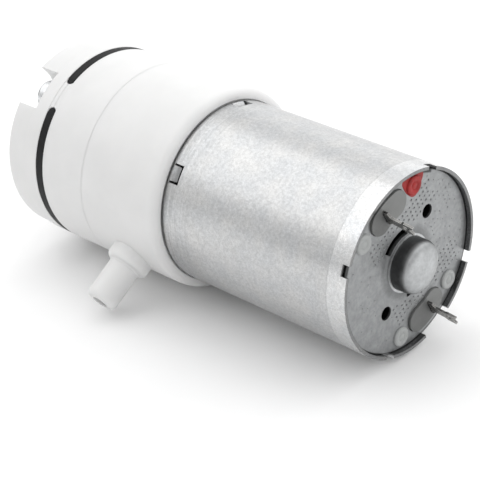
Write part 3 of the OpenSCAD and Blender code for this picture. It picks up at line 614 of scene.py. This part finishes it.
def add_prick(work, place, details, strength):
    """A small blunt cone that the plate is punched with, from a lead above the face to its tip."""
    sides = 8
    lead, tip, narrowest = 0.3, 0.45, 0.6
    rings = []
    radius = details.prick_radius * (narrowest + (1 - narrowest) * strength)
    depth = details.prick_depth * strength
    for share, reach in ((-lead, 1 + (1 - tip) * lead), (1, tip)):
        centre = Vector((PLATE_FACE + depth * share, place.y, place.z))
        rings.append([work.verts.new(centre + arm * radius * reach) for arm in full_turn(sides)])
    outer, inner = rings
    for step in range(sides):
        after = (step + 1) % sides
        work.faces.new((outer[step], outer[after], inner[after], inner[step]))
    work.faces.new(outer[::-1])
    work.faces.new(inner)


def pricked_plate(details, finish):
    """The end plate with its pricks punched in, which stands for the plain one."""
    cutter_mesh = bpy.data.meshes.new("pricks")
    work = bmesh.new()
    for place, strength in prick_places(details):
        add_prick(work, place, details, strength)
    bmesh.ops.recalc_face_normals(work, faces=work.faces)
    work.to_mesh(cutter_mesh)
    work.free()
    cutter = bpy.data.objects.new("pricks", cutter_mesh)
    bpy.context.scene.collection.objects.link(cutter)
    piece = bpy.data.objects.new("pricked_end_plate", frame_objects()["end_plate"].data.copy())
    bpy.context.scene.collection.objects.link(piece)
    weld = piece.modifiers.new("join_faces", "WELD")
    weld.merge_threshold = WELD_REACH
    punch = piece.modifiers.new("punch", "BOOLEAN")
    punch.operation = "DIFFERENCE"
    punch.object = cutter
    punch.solver = "EXACT"
    apply_modifiers(piece)
    piece.data.materials.clear()
    piece.data.materials.append(finish.made)
    smooth_by_angle(piece.data, PLATE_CRISP)
    bpy.data.objects.remove(cutter)
    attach(piece, "pump")
    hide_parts("end_plate")
    return piece


def apply_modifiers(piece):
    """Puts what the modifiers make into the piece's own mesh."""
    bpy.context.view_layer.update()
    depsgraph = bpy.context.evaluated_depsgraph_get()
    shaped = bpy.data.meshes.new_from_object(piece.evaluated_get(depsgraph))
    piece.modifiers.clear()
    piece.data = shaped


# Corners of the red mark about its rivet, in mm
MARK_CORNERS = (
    (2.12, 0.76), (1.52, 1.26), (0.0, 1.36), (-1.48, 1.26), (-1.83, 0.76), (-1.23, -0.49), (-0.73, -1.39),
    (0.02, -1.54), (0.92, -0.99), (1.62, -0.24),
)

# Where the paint meets its rivet, how much thicker it is there, and by which share of the way out that ends
MARK_HOLE = 1.15 * MM
MARK_COLLAR = 0.12 * MM
COLLAR_END = 0.25

# How far the paint's edges are sunk in the plate
MARK_SUNK = 0.02 * MM


def mark_outline(steps):
    """Outline of the red mark: a smooth curve through its corners, a shield along the rim."""
    outline = []
    count = len(MARK_CORNERS)
    for step in range(steps):
        share = step * count / steps
        first = int(share)
        past = share - first
        before, start, end, after = (Vector(MARK_CORNERS[(first + turn) % count]) for turn in (-1, 0, 1, 2))
        bend = (2 * before - 5 * start + 4 * end - after) * past ** 2
        twist = (3 * start - before - 3 * end + after) * past ** 3
        outline.append(0.5 * (2 * start + (end - before) * past + bend + twist) * MM)
    return outline


def paint_coat(work, details):
    """A coat of paint on the plate, thin at its edge and thick where it meets the polarity rivet."""
    steps, rings = 90, 10
    outline = mark_outline(steps)
    layers = []
    for ring in range(rings + 1):
        share = ring / rings
        collar = MARK_COLLAR * max(0.0, 1 - share / COLLAR_END) ** 2
        height = details.paint_coat * math.sqrt(1 - share ** 6) + collar
        layer = []
        for point in outline:
            near = point.normalized() * MARK_HOLE
            spot = near.lerp(point, share)
            layer.append(work.verts.new((PLATE_FACE - height, RED_RIVET.y + spot.x, RED_RIVET.z + spot.y)))
        layers.append(layer)
    for layer in (layers[-1], layers[0]):
        sunk = [(PLATE_FACE + MARK_SUNK, *vertex.co.yz) for vertex in layer]
        layers.append([work.verts.new(place) for place in sunk])
    layers.append(layers[0])
    for inner, outer in zip(layers, layers[1:]):
        for step in range(steps):
            after = (step + 1) % steps
            work.faces.new((inner[step], inner[after], outer[after], outer[step]))


# Settings


class PumpFinishes(bpy.types.PropertyGroup):
    """Colours of the pump's materials."""

    can: FloatVectorProperty(
        name="Can", description="Zinc of the motor's can", subtype="COLOR", size=3,
        default=(0.55, 0.554, 0.556))
    plate: FloatVectorProperty(
        name="End plate", description="Steel of the end plate", subtype="COLOR", size=3,
        default=(0.30, 0.307, 0.311))
    head: FloatVectorProperty(
        name="Head", description="White plastic of the pump head", subtype="COLOR", size=3,
        default=(0.74, 0.74, 0.737))
    rubber: FloatVectorProperty(
        name="Rubber", description="Rubber of the diaphragm", subtype="COLOR", size=3,
        default=(0.007, 0.007, 0.0075))
    inserts: FloatVectorProperty(
        name="Inserts", description="Plastic round the terminals", subtype="COLOR", size=3,
        default=(0.15, 0.153, 0.15))
    rivets: FloatVectorProperty(
        name="Rivets", description="Pale rivets of the end plate", subtype="COLOR", size=3,
        default=(0.36, 0.37, 0.366))
    mark: FloatVectorProperty(
        name="Mark", description="Red polarity mark", subtype="COLOR", size=3, default=(0.31, 0.021, 0.02))


class PumpDetails(bpy.types.PropertyGroup):
    """Sizes of the pump's small details."""

    band: FloatProperty(
        name="Turned band", description="Width of the smooth band at the can's rear rim",
        unit="LENGTH", default=2.8 * MM)
    prick_pitch: FloatProperty(
        name="Prick pitch", description="Distance between two pricks of the end plate",
        unit="LENGTH", default=0.7 * MM)
    prick_radius: FloatProperty(
        name="Prick radius", description="Radius of a prick", unit="LENGTH", default=0.185 * MM)
    prick_depth: FloatProperty(
        name="Prick depth", description="Depth of a prick", unit="LENGTH", default=0.19 * MM)
    rivet_height: FloatProperty(
        name="Rivet height", description="Height of a rivet's head", unit="LENGTH", default=RIVET_HEAD)
    paint_coat: FloatProperty(
        name="Paint coat", description="Thickness of the red mark", unit="LENGTH", default=0.06 * MM)
    plastic_edge: FloatProperty(
        name="Plastic edge", description="Rounding of the plastic's edges",
        unit="LENGTH", default=0.15 * MM)
    metal_edge: FloatProperty(
        name="Metal edge", description="Rounding of the metal's edges", unit="LENGTH", default=0.05 * MM)


class PumpStage(bpy.types.PropertyGroup):
    """Camera and lights."""

    azimuth: FloatProperty(
        name="Azimuth", description="Direction that the camera looks from", subtype="ANGLE",
        default=math.radians(223.815))
    elevation: FloatProperty(
        name="Elevation", description="Height of the camera above the horizon", subtype="ANGLE",
        default=math.radians(26.507))
    distance: FloatProperty(
        name="Distance", description="Distance of the camera", unit="LENGTH", default=218.5 * MM)
    lens: FloatProperty(
        name="Lens", description="Focal length on a 36 mm sensor", unit="CAMERA", default=128.05)
    sky: FloatProperty(name="Sky", description="Brightness of the soft light from all round", default=1.76)
    key: FloatProperty(name="Key light", description="Power of the key light", unit="POWER", default=0.2)
    front_light: FloatProperty(
        name="Front light", description="Power of the broad light past the pump head",
        unit="POWER", default=0.81)
    side_light: FloatProperty(
        name="Side light", description="Power of the small low light past the pump head",
        unit="POWER", default=0.09)
    back_light: FloatProperty(
        name="Back light", description="Power of the low light on the far side",
        unit="POWER", default=0.11)


# Operators

# Share of the light that goes into the head's white plastic
HEAD_SOFTNESS = 0.25


class PUMP_OT_motor_can(bpy.types.Operator):
    """Finishes the motor's can"""

    bl_idname = "pump.motor_can"
    bl_label = "Motor can"

    def execute(self, context):
        scene = context.scene
        dress("motor_can", zinc_can(scene.pump_finishes, scene.pump_details))
        return {"FINISHED"}


class PUMP_OT_end_plate(bpy.types.Operator):
    """Punches and finishes the end plate and its rivets"""

    bl_idname = "pump.end_plate"
    bl_label = "End plate"

    def execute(self, context):
        finishes = context.scene.pump_finishes
        details = context.scene.pump_details
        pricked_plate(details, plate_steel(finishes, details))
        pale = moulded("rivet_plastic", finishes.rivets, roughness=0.5)
        paint = red_paint(finishes.mark)
        profile = rivet_profile(details)
        plain = [INSERT_TURN - RIVET_SIDE, INSERT_TURN + RIVET_SIDE + math.pi,
                 INSERT_TURN - RIVET_SIDE + math.pi]

        def turn_rivets(work):
            for turn in plain:
                lathe(work, profile, on_plate(RIVET_PLACE, turn))

        heads = new_piece("staked_rivets", turn_rivets, pale)
        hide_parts("plate_rivets")
        red_centre = on_plate(RIVET_PLACE, RED_TURN)
        head = new_piece("red_rivet", lambda work: lathe(work, profile, red_centre), paint)
        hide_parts("polarity_rivet")
        new_piece("polarity_mark", lambda work: paint_coat(work, details), paint)
        return {"FINISHED"}


class PUMP_OT_brush_gear(bpy.types.Operator):
    """Finishes the brush holder, terminals, arms and brushes"""

    bl_idname = "pump.brush_gear"
    bl_label = "Brush gear"

    def execute(self, context):
        finishes = context.scene.pump_finishes
        dress("brush_holder", insert_plastic(finishes.inserts))
        dress("terminals", tinned_sheet((0.26, 0.257, 0.25)))
        dress("brush_arms", bright_metal("copper_leaf", (0.72, 0.42, 0.25), scratch=(0.1, 1, 1)))
        dress("carbon_brushes", matt_ceramic("carbon", (0.03, 0.03, 0.033)))
        return {"FINISHED"}


class PUMP_OT_motor_inside(bpy.types.Operator):
    """Finishes what the motor's can hides"""

    bl_idname = "pump.motor_inside"
    bl_label = "Motor inside"

    def execute(self, context):
        dress("magnets", matt_ceramic("ferrite", (0.06, 0.06, 0.065)))
        dress("magnet_clips", bright_metal("blued_spring", (0.30, 0.34, 0.40)))
        bronze = bright_metal("oiled_bronze", (0.50, 0.34, 0.16), roughness=0.45)
        dress("rear_bushing", bronze)
        dress("front_bushing", bronze)
        dress("shaft", bright_metal("ground_steel", (0.72, 0.73, 0.74), roughness=0.2, scratch=(12, 1, 1)))
        dress("armature_core", layered("core_sheets", (0.36, 0.37, 0.39), 0.5 * MM))
        dress("core_insulators", moulded("fibre_board", (0.09, 0.16, 0.26), roughness=0.6, soft=0.0))
        dress("windings", layered("enamelled_wire", (0.55, 0.20, 0.07), 0.28 * MM, roughness=0.3))
        dress("commutator_hub", moulded("brown_thermoset", (0.12, 0.05, 0.025), soft=0.0))
        dress("commutator_bars", bright_metal("turned_copper", (0.75, 0.40, 0.22), scratch=(14, 1, 1)))
        dress("varistor", matt_ceramic("varistor_ceramic", (0.07, 0.075, 0.08)))
        dress("thrust_washers", moulded("natural_washer", (0.68, 0.63, 0.50)))
        return {"FINISHED"}


class PUMP_OT_head(bpy.types.Operator):
    """Finishes the white pump head"""

    bl_idname = "pump.head"
    bl_label = "Pump head"

    def execute(self, context):
        finishes = context.scene.pump_finishes
        details = context.scene.pump_details
        edge = details.plastic_edge
        plastic = moulded("white_plastic", finishes.head, soft=HEAD_SOFTNESS, edge=edge)
        for name in ("diaphragm_seat", "cover"):
            dress(name, plastic)
        dress("crankcase", moulded("white_casing", finishes.head, soft=HEAD_SOFTNESS, edge=edge / 2))
        dress("valve_plate", moulded("valve_plastic", (0.80, 0.80, 0.77)))
        return {"FINISHED"}


class PUMP_OT_rubber(bpy.types.Operator):
    """Finishes the diaphragm, the valves and the seal"""

    bl_idname = "pump.rubber"
    bl_label = "Rubber"

    def execute(self, context):
        black = rubber(context.scene.pump_finishes.rubber)
        for name in ("diaphragm", "inlet_valves", "outlet_valve", "seal_ring"):
            dress(name, black)
        return {"FINISHED"}


class PUMP_OT_drive(bpy.types.Operator):
    """Finishes the eccentric, the crank pin and the rocker"""

    bl_idname = "pump.drive"
    bl_label = "Drive"

    def execute(self, context):
        natural = moulded("natural_acetal", (0.74, 0.74, 0.70), roughness=0.34)
        dress("eccentric", natural)
        dress("rocker", natural)
        dress("crank_pin", bright_metal("pin_steel", (0.70, 0.71, 0.72), roughness=0.18))
        return {"FINISHED"}


class PUMP_OT_screws(bpy.types.Operator):
    """Finishes the screws"""

    bl_idname = "pump.screws"
    bl_label = "Screws"

    def execute(self, context):
        steel = bright_metal("plated_screw", (0.66, 0.67, 0.68), roughness=0.24)
        for name in ("cover_screws", "motor_screws"):
            dress(name, steel)
        return {"FINISHED"}


class PUMP_OT_stage(bpy.types.Operator):
    """Makes the floor, the lights and the camera"""

    bl_idname = "pump.stage"
    bl_label = "Stage"

    def execute(self, context):
        stage = context.scene.pump_stage
        make_floor()
        make_sky(context.scene, stage)
        for name, (place, size) in SOFTBOXES.items():
            make_softbox(name, Vector(place), size, getattr(stage, name))
        make_camera(context.scene, stage)
        context.scene.view_settings.view_transform = "Standard"
        context.scene.view_settings.look = "None"
        return {"FINISHED"}


# Stage

# Place and width of each softbox in metres; its power is the stage's setting of that name
SOFTBOXES = {
    "key": ((0.03, -0.14, 0.4), 0.3),
    "front_light": ((0.3, 0.13, 0.375), 0.55),
    "side_light": ((0.315, 0.385, 0.06), 0.2),
    "back_light": ((0.3, -0.39, 0.07), 0.25),
}

# Slopes of the floor under the pump along X and Y, and where and in how many steps it levels out
FLOOR_SLOPE = (-0.0238, -0.083)
FLOOR_BEND = (-3 * MM, -12 * MM)
FLOOR_BEND_STEPS = 12

# Half the floor's width in metres, and its colour
FLOOR_HALF = 1.5
FLOOR_COLOUR = (0.92, 0.92, 0.92)


def floor_height(x, y):
    """Height of the floor's shape: tilted on the near side, and level across on the far one."""
    start, end = FLOOR_BEND
    share = min(1.0, max(0.0, (start - y) / (start - end)))
    tilted = max(y, start) - (start - end) * (share - share ** 2 / 2)
    return FLOOR_SLOPE[0] * x + FLOOR_SLOPE[1] * tilted


def make_floor():
    """A pale floor on which the nozzle, the head and the can's rim rest."""
    places = [vertex.co for piece in frame_objects().values() for vertex in piece.data.vertices]
    lowest = min(place.z - floor_height(place.x, place.y) for place in places)
    mesh = bpy.data.meshes.new("floor")
    work = bmesh.new()
    start, end = FLOOR_BEND
    bend = [start + (end - start) * step / FLOOR_BEND_STEPS for step in range(FLOOR_BEND_STEPS + 1)]
    rows = []
    for y in (FLOOR_HALF, *bend, -FLOOR_HALF):
        ends = [(x, y, lowest + floor_height(x, y)) for x in (-FLOOR_HALF, FLOOR_HALF)]
        rows.append([work.verts.new(place) for place in ends])
    for first, second in zip(rows, rows[1:]):
        work.faces.new((*first, *second[::-1]))
    bmesh.ops.recalc_face_normals(work, faces=work.faces)
    work.to_mesh(mesh)
    work.free()
    paper = Finish("white_paper", FLOOR_COLOUR, roughness=0.9)
    paper.paint(paper.shade(paper.noise(6 * MM), 0.99, 1.01))
    mesh.materials.append(paper.made)
    floor = bpy.data.objects.new("floor", mesh)
    bpy.context.scene.collection.objects.link(floor)


# Brightness of the sky against the direction's Y, from the far side of the room to the near one
SKY_STEPS = (
    (-1.0, 1.0), (-0.6, 0.64), (-0.3, 0.52), (0.0, 0.5), (0.2, 0.46), (0.35, 0.43), (0.5, 0.46), (0.62, 0.56),
    (0.72, 0.6), (0.82, 0.36), (1.0, 0.1),
)

# Share of the sky's brightness along an axis: from and to which direction, and the share at each
SKY_LEAN = {"X": (-0.8, 0.2, 1.5, 1.0), "Z": (0.08, 0.42, 0.3, 1.0)}


def make_sky(scene, stage):
    """Soft light from all round, brighter from the far side, behind a plain pale backdrop."""
    world = bpy.data.worlds.new("soft_sky")
    scene.world = world
    world.use_nodes = True
    tree = world.node_tree
    place = tree.nodes.new("ShaderNodeTexCoord")
    parts = tree.nodes.new("ShaderNodeSeparateXYZ")
    tree.links.new(place.outputs["Generated"], parts.inputs["Vector"])
    across = tree.nodes.new("ShaderNodeMapRange")
    tree.links.new(parts.outputs["Y"], across.inputs["Value"])
    across.inputs["From Min"].default_value = -1
    ramp = tree.nodes.new("ShaderNodeValToRGB")
    tree.links.new(across.outputs["Result"], ramp.inputs["Fac"])
    ramp.color_ramp.interpolation = "B_SPLINE"
    marks = ramp.color_ramp.elements
    while len(marks) < len(SKY_STEPS):
        marks.new(0.5)
    for mark, (y, bright) in zip(marks, SKY_STEPS):
        mark.position = (y + 1) / 2
        mark.color = (bright, bright, bright, 1)
    lit = tree.nodes["Background"]
    tree.links.new(ramp.outputs["Color"], lit.inputs["Color"])
    product = tree.nodes.new("ShaderNodeMath")
    product.operation = "MULTIPLY"
    root = math.sqrt(stage.sky)
    for side, (axis, (low, high, at_low, at_high)) in enumerate(SKY_LEAN.items()):
        lean = tree.nodes.new("ShaderNodeMapRange")
        tree.links.new(parts.outputs[axis], lean.inputs["Value"])
        limits = {"From Min": low, "From Max": high, "To Min": at_low * root, "To Max": at_high * root}
        for name, limit in limits.items():
            lean.inputs[name].default_value = limit
        tree.links.new(lean.outputs["Result"], product.inputs[side])
    tree.links.new(product.outputs["Value"], lit.inputs["Strength"])
    pale = tree.nodes.new("ShaderNodeBackground")
    pale.inputs["Color"].default_value = (1, 1, 1, 1)
    seen = tree.nodes.new("ShaderNodeMixShader")
    tree.links.new(tree.nodes.new("ShaderNodeLightPath").outputs["Is Camera Ray"], seen.inputs["Fac"])
    tree.links.new(lit.outputs["Background"], seen.inputs[1])
    tree.links.new(pale.outputs["Background"], seen.inputs[2])
    tree.links.new(seen.outputs["Shader"], tree.nodes["World Output"].inputs["Surface"])


def make_softbox(name, place, size, power):
    """A square softbox that faces the pump and that the camera doesn't see."""
    light = bpy.data.lights.new(name, "AREA")
    light.energy = power
    light.size = size
    box = bpy.data.objects.new(name, light)
    box.location = place
    box.rotation_mode = "QUATERNION"
    box.rotation_quaternion = (-place).to_track_quat("-Z", "Y")
    box.visible_camera = False
    bpy.context.scene.collection.objects.link(box)


# Where the camera aims along the motor, and how far it is moved to the right and up
CAMERA_AIM = REAR + 24 * MM
CAMERA_SHIFT = (-3.104 * MM, -4.525 * MM)

# Width of the camera's sensor in mm, and how near and how far it sees in metres
SENSOR_WIDTH = 36
CLIP_START, CLIP_END = 0.01, 10


def make_camera(scene, stage):
    """The camera at the photograph's view."""
    aim = Vector((CAMERA_AIM, 0, 0))
    azimuth, elevation = stage.azimuth, stage.elevation
    level = math.cos(elevation)
    back = Vector((math.sin(azimuth) * level, -math.cos(azimuth) * level, math.sin(elevation)))
    right = Vector((math.cos(azimuth), math.sin(azimuth), 0))
    up = back.cross(right)
    lens = bpy.data.cameras.new("camera")
    lens.lens = stage.lens
    lens.sensor_width = SENSOR_WIDTH
    lens.clip_start, lens.clip_end = CLIP_START, CLIP_END
    camera = bpy.data.objects.new("camera", lens)
    camera.location = aim + back * stage.distance + right * CAMERA_SHIFT[0] + up * CAMERA_SHIFT[1]
    camera.rotation_mode = "QUATERNION"
    camera.rotation_quaternion = (-back).to_track_quat("-Z", "Y")
    scene.collection.objects.link(camera)
    scene.camera = camera


# Panel and registration


class PUMP_PT_looks(bpy.types.Panel):
    """Lists what the pump's looks are made of"""

    bl_label = "Air Pump"
    bl_idname = "PUMP_PT_looks"
    bl_space_type = "VIEW_3D"
    bl_region_type = "UI"
    bl_category = "Air Pump"

    def draw(self, context):
        for operator in OPERATORS:
            self.layout.operator(operator.bl_idname)


SETTINGS = {"pump_finishes": PumpFinishes, "pump_details": PumpDetails, "pump_stage": PumpStage}
OPERATORS = (
    PUMP_OT_motor_can, PUMP_OT_end_plate, PUMP_OT_brush_gear, PUMP_OT_motor_inside, PUMP_OT_head,
    PUMP_OT_rubber, PUMP_OT_drive, PUMP_OT_screws, PUMP_OT_stage,
)


def register():
    for made in (*SETTINGS.values(), *OPERATORS, PUMP_PT_looks):
        bpy.utils.register_class(made)
    for name, group in SETTINGS.items():
        setattr(bpy.types.Scene, name, PointerProperty(type=group))


def unregister():
    for name in SETTINGS:
        delattr(bpy.types.Scene, name)
    for made in reversed((*SETTINGS.values(), *OPERATORS, PUMP_PT_looks)):
        bpy.utils.unregister_class(made)


def main():
    """Makes everything in order."""
    register()
    for operator in OPERATORS:
        getattr(bpy.ops.pump, operator.bl_idname.split(".")[1])()


if __name__ == "__main__":
    main()
